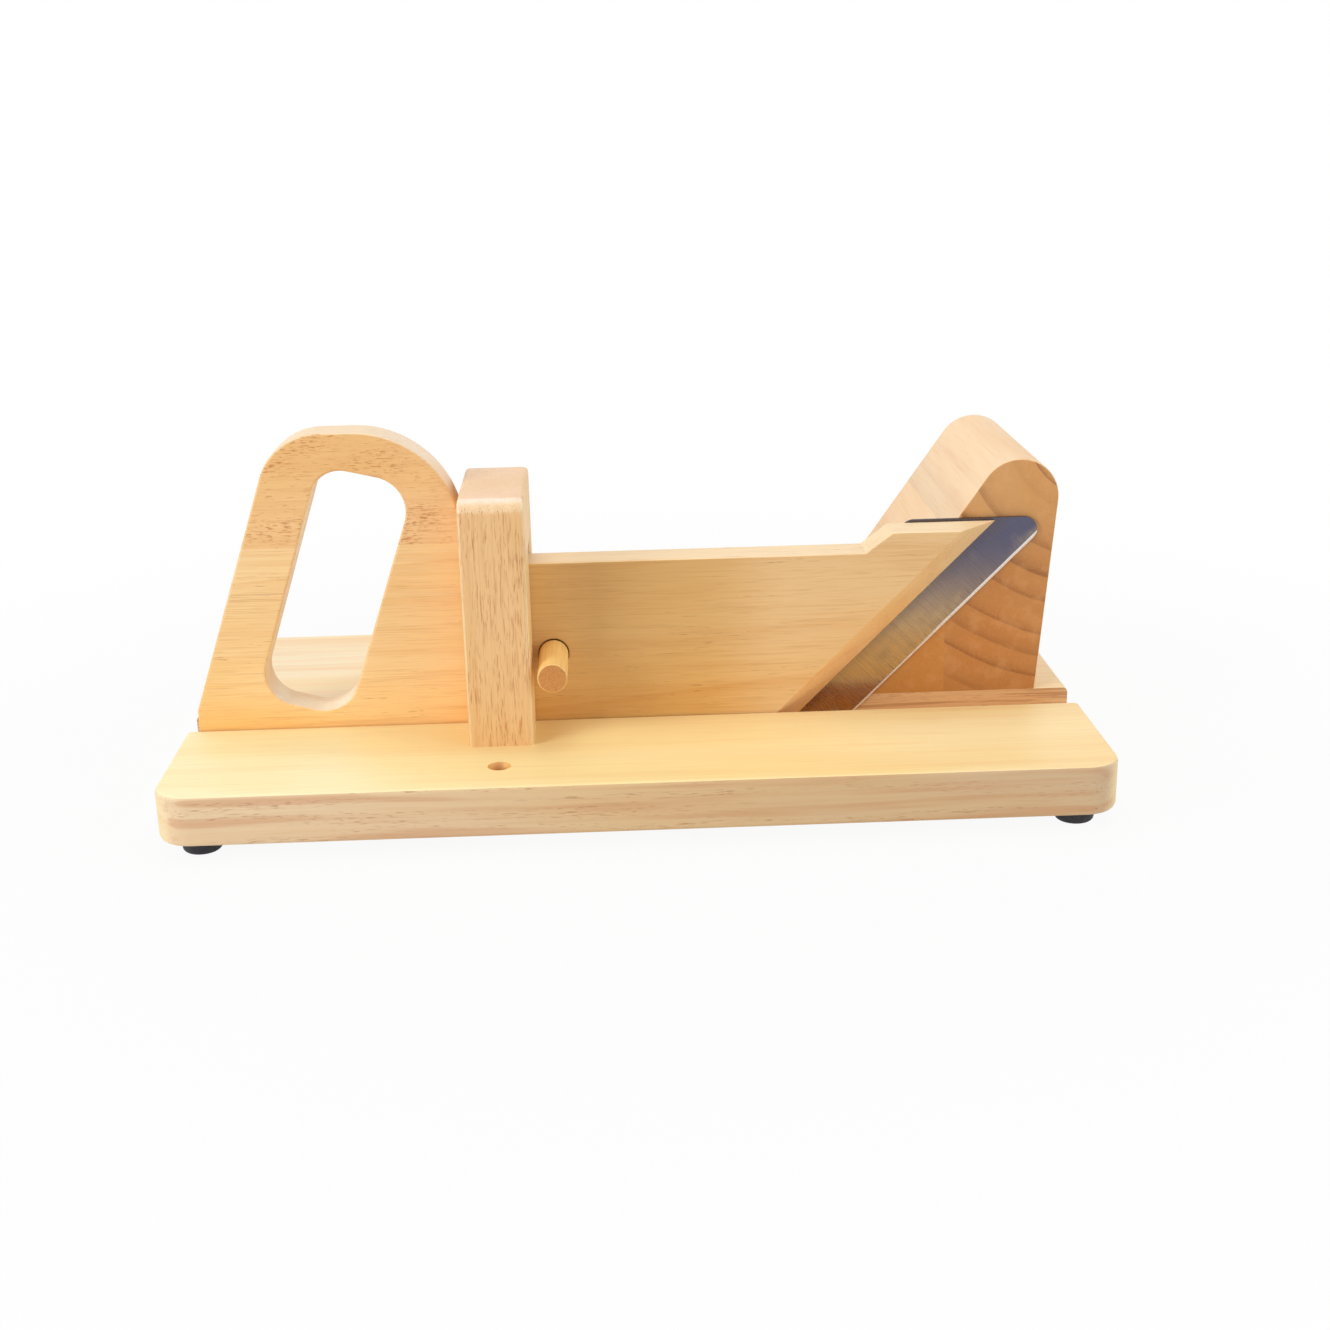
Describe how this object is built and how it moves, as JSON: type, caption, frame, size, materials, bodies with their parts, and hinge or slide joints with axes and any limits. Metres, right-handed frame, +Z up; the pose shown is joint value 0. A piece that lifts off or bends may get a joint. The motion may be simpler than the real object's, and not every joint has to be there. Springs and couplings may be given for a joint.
{
  "type": "sausage slicer",
  "caption": "Wooden table slicer: a slanted steel blade on a handled carriage slides along a grooved base, through a guide arch, and cuts against a slanted wooden anvil block.",
  "frame": {"origin": "middle of the base board in plan, on the surface that the feet stand on", "axes": "+X along the channel from the handle to the anvil, +Y away from the user, +Z up"},
  "size_m": [0.285, 0.155, 0.1149],
  "materials": {
    "wood_base": "pale planed hardwood, straight grain along X, satin oil",
    "wood_arch": "tan hardwood, upright grain with short dark pores, satin oil",
    "wood_carriage": "golden hardwood, grain along X, satin oil",
    "wood_handle": "tan hardwood, grain along X with short dark pores, satin oil",
    "wood_anvil": "end grain with growth rings on the front, long grain along Y on the slanted face, satin oil",
    "wood_pin": "golden dowel, end grain on its face",
    "blade_steel": "satin steel ground across its width, with a bright bevel at the edge",
    "screw_steel": "zinc-plated",
    "foot_rubber": "matte black rubber"
  },
  "bodies": {
    "base": {"base_board": "wood_base", "guide_arch": "wood_arch", "anvil_left": "wood_anvil", "anvil_right": "wood_anvil", "arch_screw_front": "screw_steel", "arch_screw_rear": "screw_steel", "anvil_screw_left": "screw_steel", "anvil_screw_front": "screw_steel", "anvil_screw_rear": "screw_steel", "foot_front_left": "foot_rubber", "foot_front_right": "foot_rubber", "foot_rear_left": "foot_rubber", "foot_rear_right": "foot_rubber", "foot_screw_front_left": "screw_steel", "foot_screw_front_right": "screw_steel", "foot_screw_rear_left": "screw_steel", "foot_screw_rear_right": "screw_steel"},
    "carriage": {"carriage_board": "wood_carriage", "handle_top": "wood_handle", "blade": "blade_steel", "blade_screw_1": "screw_steel", "blade_screw_2": "screw_steel", "blade_screw_3": "screw_steel"},
    "pin": {"lock_pin": "wood_pin"}
  },
  "joints": [
    {"name": "carriage_slide", "type": "slide", "parent": "base", "child": "carriage", "axis": [-1, 0, 0], "range_m": [0, 0.104]},
    {"name": "pin_withdraw", "type": "slide", "parent": "base", "child": "pin", "axis": [0, -0.7413, -0.6711], "range_m": [0, 0.02564]}
  ],
  "couplings": [
    {"joint": "pin_withdraw", "follows": "carriage_slide", "ratio": 0.24643}
  ]
}
